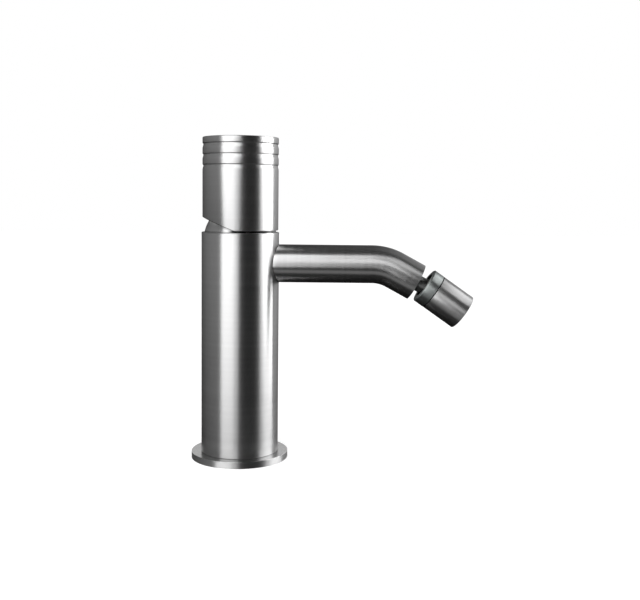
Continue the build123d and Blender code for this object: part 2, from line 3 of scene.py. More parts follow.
import bpy
from mathutils import Euler, Matrix, Vector


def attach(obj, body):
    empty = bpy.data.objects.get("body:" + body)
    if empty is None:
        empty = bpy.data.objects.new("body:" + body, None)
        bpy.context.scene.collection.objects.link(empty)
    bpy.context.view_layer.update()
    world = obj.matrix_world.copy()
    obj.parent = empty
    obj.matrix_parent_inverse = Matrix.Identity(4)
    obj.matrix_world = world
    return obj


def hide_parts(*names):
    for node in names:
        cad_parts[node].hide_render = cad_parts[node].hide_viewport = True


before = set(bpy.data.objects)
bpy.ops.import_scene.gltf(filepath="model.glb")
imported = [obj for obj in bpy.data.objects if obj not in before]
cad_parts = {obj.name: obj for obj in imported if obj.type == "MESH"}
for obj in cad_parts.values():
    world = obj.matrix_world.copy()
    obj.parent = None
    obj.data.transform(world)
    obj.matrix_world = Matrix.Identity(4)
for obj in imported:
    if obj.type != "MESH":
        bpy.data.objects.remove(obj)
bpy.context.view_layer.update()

mm = 0.001  # the shapes are written in millimetres, and the scene is in metres
upright = (0, 0, 1)
alongX = (1, 0, 0)
alongY = (0, 1, 0)
origin = (0, 0, 0)


# Camera: stands in front of the column, a little above the handle's foot, and looks slightly down

cameraSetup = {
    "place": (0.041375, -0.473795, 0.13535),
    "pitch": 4.373,  # degrees below level
    "roll": -0.5955,  # degrees
    "lens": 51.46,
    "sensor": 36.0,
    "shiftY": -0.0489,
    "nearest": 0.01,
    "farthest": 20,
}


def placeCamera(setup):
    bpy.ops.object.camera_add(location=setup["place"])
    camera = bpy.context.object
    camera.name = "photoCamera"
    pitch = radians(setup["pitch"])
    roll = radians(setup["roll"])
    ahead = Vector((0, cos(pitch), -sin(pitch)))
    level = Vector(alongX)
    above = Vector((0, sin(pitch), cos(pitch)))
    across = level * cos(roll) - above * sin(roll)
    up = level * sin(roll) + above * cos(roll)
    turn = Matrix((across, up, -ahead)).transposed()
    camera.rotation_euler = turn.to_euler()
    camera.data.lens = setup["lens"]
    camera.data.sensor_width = setup["sensor"]
    camera.data.shift_y = setup["shiftY"]
    camera.data.clip_start = setup["nearest"]
    camera.data.clip_end = setup["farthest"]
    bpy.context.scene.camera = camera


bpy.ops.object.select_all(action="DESELECT")
placeCamera(cameraSetup)
print("camera placed")


# Node helpers

# Adds a node with its settings and feeds its inputs: a value is set, and another node's output is linked
def addNode(tree, kind, values, **settings):
    node = tree.nodes.new(kind)
    for setting, value in settings.items():
        setattr(node, setting, value)
    for label, value in values.items():
        if isinstance(value, bpy.types.NodeSocket):
            tree.links.new(value, node.inputs[label])
        else:
            node.inputs[label].default_value = value
    return node


def addMath(tree, operation, *parts):
    node = addNode(tree, "ShaderNodeMath", dict(enumerate(parts)), operation=operation)
    return node.outputs[0]


def addVector(tree, operation, *parts):
    node = addNode(tree, "ShaderNodeVectorMath", dict(enumerate(parts)), operation=operation)
    return node.outputs["Value" if operation in ("LENGTH", "DOT_PRODUCT") else "Vector"]


# Carries a value over from one range to another, and no further than its ends
def addRange(tree, value, start, end, low, high, **settings):
    values = {"Value": value, "From Min": start, "From Max": end, "To Min": low, "To Max": high}
    return addNode(tree, "ShaderNodeMapRange", values, **settings).outputs["Result"]


def mixTone(tree, factor, first, last):
    values = {"Factor": factor, "A": first, "B": last}
    return addNode(tree, "ShaderNodeMix", values, data_type="FLOAT").outputs["Result"]


# A tone that goes smoothly from one value to another while a part of the direction goes from low to high
def fadeTone(tree, part, reach, first, last):
    fade = addRange(tree, part, reach[0], reach[1], 0.0, 1.0, interpolation_type="SMOOTHSTEP")
    return mixTone(tree, fade, first, last)


def splitPlace(tree, place):
    return addNode(tree, "ShaderNodeSeparateXYZ", {"Vector": place}).outputs


def joinPlace(tree, **parts):
    return addNode(tree, "ShaderNodeCombineXYZ", parts).outputs["Vector"]


# Studio: a white room to the camera, darker tones in reflections, and soft boxes round the mixer

studio = {
    "target": (0.03, 0, 0.09),
    "softBoxes": {
        # name: (azimuth from the front towards +X, elevation, distance, width, height, watts a square metre)
        "leftBox": (-33.5, 20, 1.0, 0.79, 1.55, 5.3),
        "leftInnerEdge": (-7.0, 20, 1.0, 0.17, 1.55, 2.8),
        "rightInnerEdge": (70.0, 15, 1.0, 0.145, 0.91, 4.4),
        "rightBox": (97.5, 15, 1.0, 0.82, 0.91, 8.8),
        "spoutBox": (15, 21, 1.0, 0.3, 0.38, 2.9),
        "tailBox": (43, 42, 1.0, 0.6, 0.5, 1.8),
        "frontBox": (17.5, 3, 1.0, 0.3, 0.42, 2.2),
        "tableBox": (8, -41, 0.115, 0.35, 0.045, 0.4),
        "nozzleBox": (88, 40.5, 1.0, 1.2, 0.34, 3.5),
        "flangeBox": (180, 18, 1.0, 1.6, 0.45, 2.2),
        "handleBox": (0.5, 38, 1.0, 0.09, 0.7, 5.0),
    },
    "roomWhite": 1.0,
    "roomLight": 0.8,
    # tones that the steel reflects, and how far they fall off upwards and downwards
    "frontTone": 0.005,
    "leftTone": 0.33,
    "leftBackShare": 0.5,
    "backTone": 0.06,
    "rightTone": 0.5,
    "frontFloorTone": 0.015,
    "backFrom": (-0.2, 0.35),
    "leftFrom": (-0.2, -1.0),
    "leftBackFrom": (-0.45, 0.95),
    "frontFloorFrom": (-0.2, -0.45),
    "rightFrom": (-0.1, 0.7),
    "upFrom": (0.25, 0.6),
    "upShare": 0.3,
    "downFrom": (0.05, -0.22),
    "downShare": 0.07,
    "floorSize": 6.0,
    "floorTone": (0.86, 0.86, 0.86, 1),
    "floorRoughness": 0.9,
    "floorGloss": 0.1,
    "floorGlow": (0.42, 0.42, 0.42, 1),
    "floorGlowStrength": 1.0,
}


def aim(azimuth, elevation, distance, target):
    side = radians(azimuth)
    lift = radians(elevation)
    away = Vector((sin(side) * cos(lift), -cos(side) * cos(lift), sin(lift)))
    place = Vector(target) + away * distance
    return place, away.to_track_quat("Z", "Y").to_euler()


def hangSoftBox(name, azimuth, elevation, distance, width, height, glow):
    place, turn = aim(azimuth, elevation, distance, studio["target"])
    bpy.ops.object.light_add(type="AREA", location=place, rotation=turn)
    box = bpy.context.object
    box.name = name
    box.data.shape = "RECTANGLE"
    box.data.size = width
    box.data.size_y = height
    box.data.energy = glow * width * height
    box.visible_camera = False


for boxName, boxValues in studio["softBoxes"].items():
    hangSoftBox(boxName, *boxValues)


def paintRoom(room):
    world = bpy.data.worlds.new("studioRoom")
    bpy.context.scene.world = world
    world.use_nodes = True
    tree = world.node_tree
    tree.nodes.clear()
    place = tree.nodes.new("ShaderNodeTexCoord")
    across, away, up = splitPlace(tree, place.outputs["Generated"])
    upFade = fadeTone(tree, up, room["upFrom"], 1.0, room["upShare"])
    downFade = fadeTone(tree, up, room["downFrom"], 1.0, room["downShare"])
    front = fadeTone(tree, up, room["frontFloorFrom"], room["frontTone"], room["frontFloorTone"])
    back = fadeTone(tree, across, room["rightFrom"], room["backTone"], room["rightTone"])
    leftBackTone = room["leftTone"] * room["leftBackShare"]
    left = fadeTone(tree, away, room["leftBackFrom"], room["leftTone"], leftBackTone)
    lowBack = addMath(tree, "MULTIPLY", back, downFade)
    lowLeft = addMath(tree, "MULTIPLY", left, downFade)
    middle = fadeTone(tree, away, room["backFrom"], front, lowBack)
    allRound = fadeTone(tree, across, room["leftFrom"], middle, lowLeft)
    reflected = addMath(tree, "MULTIPLY", allRound, upFade)
    rays = tree.nodes.new("ShaderNodeLightPath")
    lit = mixTone(tree, rays.outputs["Is Glossy Ray"], room["roomLight"], reflected)
    shown = mixTone(tree, rays.outputs["Is Camera Ray"], lit, room["roomWhite"])
    background = addNode(tree, "ShaderNodeBackground", {"Color": shown})
    addNode(tree, "ShaderNodeOutputWorld", {"Surface": background.outputs["Background"]})


paintRoom(studio)
bpy.context.scene.view_settings.view_transform = "Standard"


def layFloor(room):
    bpy.ops.object.select_all(action="DESELECT")
    bpy.ops.mesh.primitive_plane_add(size=room["floorSize"], location=origin)
    floor = bpy.context.object
    floor.name = "studioFloor"
    floor.visible_glossy = False
    material = bpy.data.materials.new("paleFloor")
    material.use_nodes = True
    shader = material.node_tree.nodes["Principled BSDF"]
    shader.inputs["Base Color"].default_value = room["floorTone"]
    shader.inputs["Roughness"].default_value = room["floorRoughness"]
    shader.inputs["Specular IOR Level"].default_value = room["floorGloss"]
    shader.inputs["Emission Color"].default_value = room["floorGlow"]
    shader.inputs["Emission Strength"].default_value = room["floorGlowStrength"]
    floor.data.materials.append(material)


layFloor(studio)
print("studio lit")


# Shared effects: grain round an axis, worn edges, slow patches, and the shade in corners and beside joins

grainNoises = {
    "Grain": {"Scale": 1.0, "Detail": 3.0, "Roughness": 0.65},
    "Streaks": {"Scale": 0.06, "Detail": 2.0},
}
breakNoise = {"Detail": 2.0}
patchNoise = {"Detail": 3.0, "Roughness": 0.55}


# Gives the group, the values that go into it and the places where its results go
def newGroup(name, inputs, outputs):
    group = bpy.data.node_groups.new(name, "ShaderNodeTree")
    for label, kind, value in inputs:
        socket = group.interface.new_socket(name=label, in_out="INPUT", socket_type="NodeSocket" + kind)
        if value is not None:
            socket.default_value = value
    for label in outputs:
        group.interface.new_socket(name=label, in_out="OUTPUT", socket_type="NodeSocketFloat")
    given = group.nodes.new("NodeGroupInput").outputs
    results = group.nodes.new("NodeGroupOutput").inputs
    return group, given, results


# Grain that runs round an axis: noise read on the height along the axis and the distance from it
def makeTurnedGrain():
    group, given, results = newGroup("turnedGrain", [
        ("Place", "Vector", None),
        ("Axis", "Vector", upright),
        ("Centre", "Vector", origin),
        ("Run", "Float", 0.0),
        ("Lines", "Float", 9000.0),
        ("Drift", "Float", 60.0),
    ], grainNoises)
    fromCentre = addVector(group, "SUBTRACT", given["Place"], given["Centre"])
    beyond = addVector(group, "DOT_PRODUCT", fromCentre, given["Axis"])
    height = addMath(group, "ADD", beyond, given["Run"])
    radius = addVector(group, "LENGTH", addVector(group, "CROSS_PRODUCT", given["Axis"], fromCentre))
    heightLines = addMath(group, "MULTIPLY", height, given["Lines"])
    radiusLines = addMath(group, "MULTIPLY", radius, given["Lines"])
    drifted = {0: fromCentre, "Scale": given["Drift"]}
    drift = addNode(group, "ShaderNodeVectorMath", drifted, operation="SCALE")
    lines = joinPlace(group, X=heightLines, Y=radiusLines)
    place = addVector(group, "ADD", lines, drift.outputs["Vector"])
    for label, settings in grainNoises.items():
        noise = addNode(group, "ShaderNodeTexNoise", {"Vector": place} | settings)
        group.links.new(noise.outputs["Fac"], results[label])
    return group


# Where an edge stands proud, broken up by noise: 0 on the faces, 1 on the worn edge
def makeEdgeWear():
    group, given, results = newGroup("edgeWear", [
        ("Place", "Vector", None),
        ("Low", "Float", 0.52),
        ("High", "Float", 0.62),
        ("Breaks", "Float", 900.0),
    ], ["Wear"])
    shape = group.nodes.new("ShaderNodeNewGeometry")
    proud = addRange(group, shape.outputs["Pointiness"], given["Low"], given["High"], 0.0, 1.0)
    values = {"Vector": given["Place"], "Scale": given["Breaks"]} | breakNoise
    breaks = addNode(group, "ShaderNodeTexNoise", values)
    group.links.new(addMath(group, "MULTIPLY", proud, breaks.outputs["Fac"]), results["Wear"])
    return group


# Slow patches, as handling and water leave on a surface
def makePatches():
    inputs = [("Place", "Vector", None), ("Scale", "Float", 55.0)]
    group, given, results = newGroup("softPatches", inputs, ["Patch"])
    values = {"Vector": given["Place"], "Scale": given["Scale"]} | patchNoise
    cloud = addNode(group, "ShaderNodeTexNoise", values)
    group.links.new(cloud.outputs["Fac"], results["Patch"])
    return group


# Dark in a corner that no light reaches: full below the low height and none above the high one. Along X it
# comes in between behind and ahead, and goes out between open and beyond
def makeCornerShade():
    group, given, results = newGroup("cornerShade", [
        ("Place", "Vector", None),
        ("Depth", "Float", 0.5),
        ("Low", "Float", 0.0),
        ("High", "Float", 0.001),
        ("Behind", "Float", -1.0),
        ("Ahead", "Float", -0.9),
        ("Open", "Float", 1.0),
        ("Beyond", "Float", 1.1),
    ], ["Shade"])
    parts = splitPlace(group, given["Place"])
    low = addRange(group, parts["Z"], given["High"], given["Low"], 0.0, 1.0)
    ahead = addRange(group, parts["X"], given["Behind"], given["Ahead"], 0.0, 1.0)
    closed = addRange(group, parts["X"], given["Beyond"], given["Open"], 0.0, 1.0)
    shade = addMath(group, "MULTIPLY", addMath(group, "MULTIPLY", low, ahead), closed)
    group.links.new(addMath(group, "MULTIPLY", shade, given["Depth"]), results["Shade"])
    return group


# Dark beside a join, full at the near distance and none at the far one, and only ahead of a point. The
# distance is from the plane there, or where round is 1, from the line that runs through the point
def makeJoinShade():
    group, given, results = newGroup("joinShade", [
        ("Place", "Vector", None),
        ("Depth", "Float", 0.5),
        ("Point", "Vector", origin),
        ("Way", "Vector", upright),
        ("Round", "Float", 0.0),
        ("Near", "Float", 0.0),
        ("Far", "Float", 0.001),
    ], ["Shade"])
    away = addVector(group, "SUBTRACT", given["Place"], given["Point"])
    ahead = addVector(group, "DOT_PRODUCT", away, given["Way"])
    around = addVector(group, "LENGTH", addVector(group, "CROSS_PRODUCT", away, given["Way"]))
    distance = mixTone(group, given["Round"], ahead, around)
    fade = addRange(group, distance, given["Near"], given["Far"], given["Depth"], 0.0)
    shade = addMath(group, "MULTIPLY", fade, addMath(group, "GREATER_THAN", ahead, 0.0))
    group.links.new(shade, results["Shade"])
    return group


turnedGrain = makeTurnedGrain()
edgeWear = makeEdgeWear()
softPatches = makePatches()
cornerShade = makeCornerShade()
joinShade = makeJoinShade()


# A shade for a finish: its group and values, with the lengths turned from millimetres to metres
def makeShade(group, depth, lengths, **others):
    inMetres = {label: value * mm for label, value in lengths.items()}
    return group, {"Depth": depth} | inMetres | others


# Materials

noiseReach = (0.3, 0.7)  # where most of a noise's values lie
brightest = 0.98
grainDistance = 0.01 * mm
coatRoughness = 0.2


def addGroup(tree, group, values):
    return addNode(tree, "ShaderNodeGroup", values, node_tree=group).outputs


def spread(tree, noise, low, high):
    return addRange(tree, noise, *noiseReach, low, high)


# The axis beside each place on the bent spout: its way, a point on it, and the run from the bend's start
def followSpout(tree, here):
    parts = splitPlace(tree, here)
    pastStart = addMath(tree, "SUBTRACT", parts["X"], bendCentre.x * mm)
    aboveCentre = addMath(tree, "SUBTRACT", parts["Z"], bendCentre.z * mm)
    turned = addMath(tree, "ARCTAN2", pastStart, aboveCentre)
    angle = addMath(tree, "MINIMUM", addMath(tree, "MAXIMUM", turned, 0.0), bendAngle)
    sine = addMath(tree, "SINE", angle)
    cosine = addMath(tree, "COSINE", angle)
    axis = joinPlace(tree, X=cosine, Z=addMath(tree, "MULTIPLY", sine, -1.0))
    outward = joinPlace(tree, X=sine, Z=cosine)
    bendRadius = spoutShape["bendRadius"] * mm
    fromCentre = addVector(tree, "MULTIPLY", outward, (bendRadius,) * 3)
    centre = addVector(tree, "ADD", fromCentre, bendCentre * mm)
    return axis, centre, addMath(tree, "MULTIPLY", angle, bendRadius)


# What every material begins with: its object coordinates, tone, roughness, grain, patches and worn edges
def startMaterial(name, finish, axis, centre):
    material = bpy.data.materials.new(name)
    material.use_nodes = True
    tree = material.node_tree
    shader = tree.nodes["Principled BSDF"]
    place = tree.nodes.new("ShaderNodeTexCoord")
    here = place.outputs["Object"]
    run = 0.0
    if axis is followSpout:
        axis, centre, run = followSpout(tree, here)
    grain = addGroup(tree, turnedGrain, {
        "Place": here, "Axis": axis, "Centre": centre, "Run": run,
        "Lines": finish["lines"], "Drift": finish["drift"],
    })
    patch = addGroup(tree, softPatches, {"Place": here, "Scale": finish["patchScale"]})["Patch"]
    wear = addGroup(tree, edgeWear, {"Place": here})["Wear"]
    tone = spread(tree, patch, *finish["tone"])
    streak = spread(tree, grain["Streaks"], 1 - finish["streaks"], 1 + finish["streaks"])
    toned = addMath(tree, "MULTIPLY", tone, streak)
    worn = addMath(tree, "MULTIPLY", wear, finish["wear"])
    brightness = addMath(tree, "MINIMUM", addMath(tree, "ADD", toned, worn), brightest)
    for group, values in finish.get("shades", []):
        lost = addGroup(tree, group, {"Place": here} | values)["Shade"]
        brightness = addMath(tree, "MULTIPLY", brightness, addMath(tree, "SUBTRACT", 1.0, lost))
    tinted = {"Factor": 1.0, "A": finish["tint"], "B": brightness}
    colour = addNode(tree, "ShaderNodeMix", tinted, data_type="RGBA", blend_type="MULTIPLY")
    tree.links.new(colour.outputs["Result"], shader.inputs["Base Color"])
    rough = spread(tree, grain["Streaks"], *finish["rough"])
    smudged = spread(tree, patch, 1 - finish["smudge"], 1 + finish["smudge"])
    tree.links.new(addMath(tree, "MULTIPLY", rough, smudged), shader.inputs["Roughness"])
    scratches = {"Strength": finish["depth"], "Distance": grainDistance, "Height": grain["Grain"]}
    bump = addNode(tree, "ShaderNodeBump", scratches)
    tree.links.new(bump.outputs["Normal"], shader.inputs["Normal"])
    return material, place, axis, centre


# Brushed steel, turned about an axis: the highlight stretches along it and stays crisp across
def makeBrushedSteel(name, finish, axis=upright, centre=origin):
    material, place, axis, centre = startMaterial(name, finish, axis, centre)
    tree = material.node_tree
    shader = tree.nodes["Principled BSDF"]
    shader.inputs["Metallic"].default_value = 1.0
    shader.inputs["Anisotropic"].default_value = finish["stretch"]
    fromCentre = addVector(tree, "SUBTRACT", place.outputs["Object"], centre)
    around = addVector(tree, "CROSS_PRODUCT", axis, fromCentre)
    along = addVector(tree, "CROSS_PRODUCT", place.outputs["Normal"], around)
    turned = addNode(
        tree, "ShaderNodeVectorTransform", {"Vector": along},
        vector_type="VECTOR", convert_from="OBJECT", convert_to="WORLD",
    )
    tangent = addVector(tree, "NORMALIZE", turned.outputs["Vector"])
    tree.links.new(tangent, shader.inputs["Tangent"])
    return material


# Brass, plastic, ceramic and rubber: a gloss of their own, machining or moulding marks round an axis
def makeSolid(name, finish, axis, centre):
    material = startMaterial(name, finish, axis, centre)[0]
    shader = material.node_tree.nodes["Principled BSDF"]
    shader.inputs["Metallic"].default_value = finish["metal"]
    shader.inputs["Specular IOR Level"].default_value = finish["gloss"]
    shader.inputs["Coat Roughness"].default_value = coatRoughness
    shader.inputs["Coat Weight"].default_value = finish["coat"]
    return material


# In a finish, tone is the brightness from patch to patch and rough the roughness from streak to streak.
# Streaks and wear change the tone, and smudge the roughness. Stretch draws out the highlight. Lines is how
# many lines of grain a metre has, drift how fast they wander, and depth how strong their bump is
steelFinish = {
    "tint": (0.93, 0.93, 0.93, 1), "tone": (0.92, 0.97), "streaks": 0.025, "wear": 0.03,
    "rough": (0.36, 0.40), "smudge": 0.04, "stretch": 0.9, "lines": 9000.0, "drift": 60.0, "depth": 0.25,
    "patchScale": 50.0,
}
columnSteel = makeBrushedSteel("columnSteel", steelFinish)
print("steel mixed")


# Shaping helpers: rings of points about Z, drawn out one after the other like work on a lathe

mergeReach = 0.000001
splitReach = 0.0000001
softenSegments = 3
softenAngle = 25
smoothAngle = 30
faceSlack = 0.01  # millimetres that a face's middle may lie off the plane of the faces to paint


def pick(piece):
    bpy.ops.object.select_all(action="DESELECT")
    piece.select_set(True)
    bpy.context.view_layer.objects.active = piece


def openRing(name, radius, place, sides, turn=origin):
    bpy.ops.object.select_all(action="DESELECT")
    bpy.ops.mesh.primitive_circle_add(vertices=sides, radius=radius * mm, location=place, rotation=turn)
    piece = bpy.context.object
    piece.name = name
    piece.data.name = name
    bpy.ops.object.transform_apply(location=True, rotation=True, scale=True)
    bpy.ops.object.mode_set(mode="EDIT")
    bpy.ops.mesh.select_all(action="SELECT")
    return piece


def drawRing(radius, height, lastRadius, lastHeight):
    rise = (0, 0, (height - lastHeight) * mm)
    bpy.ops.mesh.extrude_region_move(TRANSFORM_OT_translate={"value": rise})
    if radius != lastRadius:
        share = radius / lastRadius
        bpy.ops.transform.resize(value=(share, share, 1), center_override=(0, 0, height * mm))


# Merges the points of an open edit, turns the normals outwards and closes the edit
def endShape():
    bpy.ops.mesh.select_all(action="SELECT")
    bpy.ops.mesh.remove_doubles(threshold=mergeReach)
    bpy.ops.mesh.normals_make_consistent(inside=False)
    bpy.ops.object.mode_set(mode="OBJECT")


# Turns an outline of radius and height, closed into a ring or with a flat end on both sides
def turnPiece(name, outline, sides, hollow=True):
    radius, height = outline[0]
    piece = openRing(name, radius, (0, 0, height * mm), sides)
    if not hollow:
        bpy.ops.mesh.edge_face_add()
        bpy.ops.mesh.select_all(action="DESELECT")
        bpy.ops.mesh.select_non_manifold()
    for nextRadius, nextHeight in outline[1:]:
        drawRing(nextRadius, nextHeight, radius, height)
        radius, height = nextRadius, nextHeight
    if hollow:
        bpy.ops.mesh.select_all(action="DESELECT")
        bpy.ops.mesh.select_non_manifold()
        bpy.ops.mesh.bridge_edge_loops()
    else:
        bpy.ops.mesh.edge_face_add()
    endShape()
    return piece


def turnRod(name, radius, low, high, sides):
    return turnPiece(name, [(radius, low), (radius, high)], sides, hollow=False)


def softenEdges(piece, width, segments=softenSegments, angle=softenAngle):
    pick(piece)
    bpy.ops.object.modifier_add(type="BEVEL")
    soften = piece.modifiers[-1]
    soften.width = width * mm
    soften.segments = segments
    soften.limit_method = "ANGLE"
    soften.angle_limit = radians(angle)
    soften.use_clamp_overlap = True
    soften.harden_normals = False
    bpy.ops.object.modifier_apply(modifier=soften.name)


def cutAway(piece, cutter, operation="DIFFERENCE"):
    pick(piece)
    bpy.ops.object.modifier_add(type="BOOLEAN")
    cut = piece.modifiers[-1]
    cut.operation = operation
    cut.solver = "EXACT"
    cut.object = cutter
    bpy.ops.object.modifier_apply(modifier=cut.name)
    bpy.data.objects.remove(cutter)


# Puts a piece that was turned about Z at its place, with the turn and the place in its mesh
def seat(piece, place, turn=origin):
    pick(piece)
    piece.location = place
    piece.rotation_euler = Euler(turn)
    bpy.ops.object.transform_apply(location=True, rotation=True, scale=True)


# A copy of a piece with a mesh of its own
def copyPiece(piece):
    pick(piece)
    bpy.ops.object.duplicate(linked=False)
    return bpy.context.object


# Gives a second material to the faces whose middles pass a test, which gets them in the frame of the mesh
def paintFaces(piece, material, test):
    piece.data.materials.append(material)
    index = len(piece.data.materials) - 1
    for face in piece.data.polygons:
        if test(face.center):
            face.material_index = index


def finishPiece(piece, material, body, node):
    pick(piece)
    bpy.ops.object.shade_smooth_by_angle(angle=radians(smoothAngle))
    piece.data.materials.clear()
    piece.data.materials.append(material)
    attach(piece, body)
    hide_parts(node)
    print("made", piece.name)


# A round stretch of an outline between two angles about a centre on the axis
def arcPoints(radius, centreHeight, firstAngle, lastAngle, steps):
    points = []
    for step in range(steps + 1):
        angle = radians(firstAngle + (lastAngle - firstAngle) * step / steps)
        points.append((radius * cos(angle), centreHeight + radius * sin(angle)))
    return points


# The angle at which a round stretch of an outline comes to a height above its centre, or to a radius
def angleAtHeight(radius, height):
    return degrees(asin(height / radius))


def angleAtRadius(radius, reached):
    return 90 - degrees(asin(reached / radius))


# Base flange

flangeShape = {
    "radius": 25.09, "bore": 13.05, "height": 3.4, "edge": 0.15, "sides": 256, "soften": 0.06,
    "gasketOuter": 22.95, "gasketInner": 19.85, "gasketDepth": 1.2,
    "screws": 3, "firstScrew": 60, "screwCircle": 15.8, "screwSides": 48,
    "screwHead": 2.25, "screwShank": 1.25, "screwSink": 1.2, "overrun": 1,
}
# The top face gets a copy of the steel at half the brightness, painted shade that tones down its reflections,
# and less rough and less drawn out
flangeTopShadeFinish = steelFinish | {"tint": (0.5, 0.5, 0.5, 1), "rough": (0.22, 0.26), "stretch": 0.5}
flangeTopShadeSteel = makeBrushedSteel("flangeTopShadeSteel", flangeTopShadeFinish)


def makeFlange(shape):
    outline = [
        (shape["bore"], 0),
        (shape["gasketInner"], 0),
        (shape["gasketInner"], shape["gasketDepth"]),
        (shape["gasketOuter"], shape["gasketDepth"]),
        (shape["gasketOuter"], 0),
        (shape["radius"], 0),
        (shape["radius"], shape["height"] - shape["edge"]),
        (shape["radius"] - shape["edge"], shape["height"]),
        (shape["bore"], shape["height"]),
    ]
    flange = turnPiece("baseFlange", outline, shape["sides"])
    # the screw's cone runs on below the flange, as far as it sinks into it
    screwCutter = turnPiece("screwCut", [
        (2 * shape["screwHead"] - shape["screwShank"], -shape["screwSink"]),
        (shape["screwShank"], shape["screwSink"]),
        (shape["screwShank"], shape["height"] + shape["overrun"]),
    ], shape["screwSides"], hollow=False)
    circle = shape["screwCircle"] * mm
    for step in range(shape["screws"]):
        angle = radians(shape["firstScrew"] + 360 / shape["screws"] * step)
        cutter = copyPiece(screwCutter)
        seat(cutter, (circle * cos(angle), circle * sin(angle), 0))
        cutAway(flange, cutter)
    bpy.data.objects.remove(screwCutter)
    softenEdges(flange, shape["soften"])
    finishPiece(flange, columnSteel, "body", "base_flange")
    # painted shade: the top face gets the darker top steel
    paintFaces(flange, flangeTopShadeSteel, lambda middle: middle.z > (shape["height"] - faceSlack) * mm)


makeFlange(flangeShape)


# Column tube, with the spout's hole

columnShape = {
    "radius": 20.0, "bore": 18.0, "foot": flangeShape["height"], "rim": 117.8, "rimEdge": 0.3,
    "footEdge": 0.2, "sides": 384, "soften": 0.05, "holeRadius": 9.9,
    "holeHeight": 101.75, "holeReach": 30, "holeSides": 128,
    "footShade": {"Low": 3.6, "High": 9.0}, "footShadeDepth": 0.4,
    "holeShade": {"Near": 9.95, "Far": 10.5}, "holeShadeDepth": 0.8,
}
holePlace = (0, 0, columnShape["holeHeight"] * mm)
footShade = makeShade(cornerShade, columnShape["footShadeDepth"], columnShape["footShade"])
holeShade = makeShade(
    joinShade, columnShape["holeShadeDepth"], columnShape["holeShade"],
    Point=holePlace, Way=alongX, Round=1.0,
)
footSteel = makeBrushedSteel("footSteel", steelFinish | {"shades": [footShade, holeShade]})


def makeColumn(shape):
    outline = [
        (shape["bore"], shape["foot"]),
        (shape["radius"] - shape["footEdge"], shape["foot"]),
        (shape["radius"], shape["foot"] + shape["footEdge"]),
        (shape["radius"], shape["rim"] - shape["rimEdge"]),
        (shape["radius"] - shape["rimEdge"], shape["rim"]),
        (shape["bore"], shape["rim"]),
    ]
    column = turnPiece("columnTube", outline, shape["sides"])
    cutter = turnRod("spoutHole", shape["holeRadius"], 0, shape["holeReach"], shape["holeSides"])
    seat(cutter, holePlace, (0, pi / 2, 0))
    cutAway(column, cutter)
    softenEdges(column, shape["soften"])
    finishPiece(column, footSteel, "body", "body_shell")


makeColumn(columnShape)


# Dome over the cartridge

domeShape = {
    "radius": 18.847, "inner": 17.347, "centre": 114.0, "rim": columnShape["rim"], "mouth": 11.0,
    "bore": 16.3, "spigot": 17.95, "spigotFoot": 112.65, "ledge": 119.3, "sides": 256,
    "outerSteps": 14, "innerSteps": 12, "soften": 0.08,
    "gapShade": {"Low": 118.6, "High": 119.6, "Behind": -4.9, "Ahead": -2.4, "Open": 14.0, "Beyond": 18.5},
    "gapShadeDepth": 0.97,
    "rimShade": {"Near": 0.3, "Far": 0.9}, "rimShadeDepth": 0.5,
}
gapShade = makeShade(cornerShade, domeShape["gapShadeDepth"], domeShape["gapShade"])
rimShade = makeShade(
    joinShade, domeShape["rimShadeDepth"], domeShape["rimShade"],
    Point=(0, 0, domeShape["rim"] * mm), Way=upright,
)
domeSteel = makeBrushedSteel("domeSteel", steelFinish | {"shades": [gapShade, rimShade]})


def makeDome(shape):
    centre = shape["centre"]
    outerFoot = angleAtHeight(shape["radius"], shape["rim"] - centre)
    outerMouth = angleAtRadius(shape["radius"], shape["mouth"])
    innerMouth = angleAtRadius(shape["inner"], shape["mouth"])
    innerFoot = angleAtHeight(shape["inner"], shape["ledge"] - centre)
    outline = [
        (shape["bore"], shape["spigotFoot"]),
        (shape["spigot"], shape["spigotFoot"]),
        (shape["spigot"], shape["rim"]),
    ]
    outline += arcPoints(shape["radius"], centre, outerFoot, outerMouth, shape["outerSteps"])
    outline += arcPoints(shape["inner"], centre, innerMouth, innerFoot, shape["innerSteps"])
    outline.append((shape["bore"], shape["ledge"]))
    dome = turnPiece("domeCover", outline, shape["sides"])
    softenEdges(dome, shape["soften"])
    finishPiece(dome, domeSteel, "body", "dome_cap")


makeDome(domeShape)


# Handle, with three ring grooves, a bore and the slanting cut under its back

handleShape = {
    "radius": 19.55, "low": 118.85, "high": 166.25, "edge": 0.3, "bore": 17.75, "boreTop": 163.25,
    "hollow": 19.197, "pivot": domeShape["centre"], "hollowSteps": 5, "sides": 384, "soften": 0.1,
    "grooves": 3, "groovePitch": 5.4, "firstGroove": 4.45, "grooveTop": 1.4, "grooveReach": 2.8,
    "grooveDepth": 0.45, "grooveSteps": 10, "grooveLedge": 0.5,
    "ledgeDepthShare": 0.55, "ledgeRiseShare": 0.6,
    "cutFrom": 2.0, "cutAngle": 21.4, "cutEdge": 0.12,
    "cutShade": {"Near": 0.1, "Far": 0.5}, "cutShadeDepth": 0.7,
    "plugHole": 2.5, "plugHeight": 139.85, "plugHoleReach": 30, "plugHoleSides": 64,
}
cutAngle = radians(handleShape["cutAngle"])
cutWay = Vector((sin(cutAngle), 0, cos(cutAngle)))
cutPlace = Vector((-handleShape["cutFrom"], 0, handleShape["low"])) * mm
cutShade = makeShade(
    joinShade, handleShape["cutShadeDepth"], handleShape["cutShade"], Point=cutPlace, Way=cutWay,
)
handleSteel = makeBrushedSteel("handleSteel", steelFinish | {"shades": [cutShade]})
# The faces on the slanting cut get a dark copy of the steel: painted shade along the cut
cutShadeSteel = makeBrushedSteel("cutShadeSteel", steelFinish | {"tint": (0.2, 0.2, 0.2, 1), "wear": 0.0})


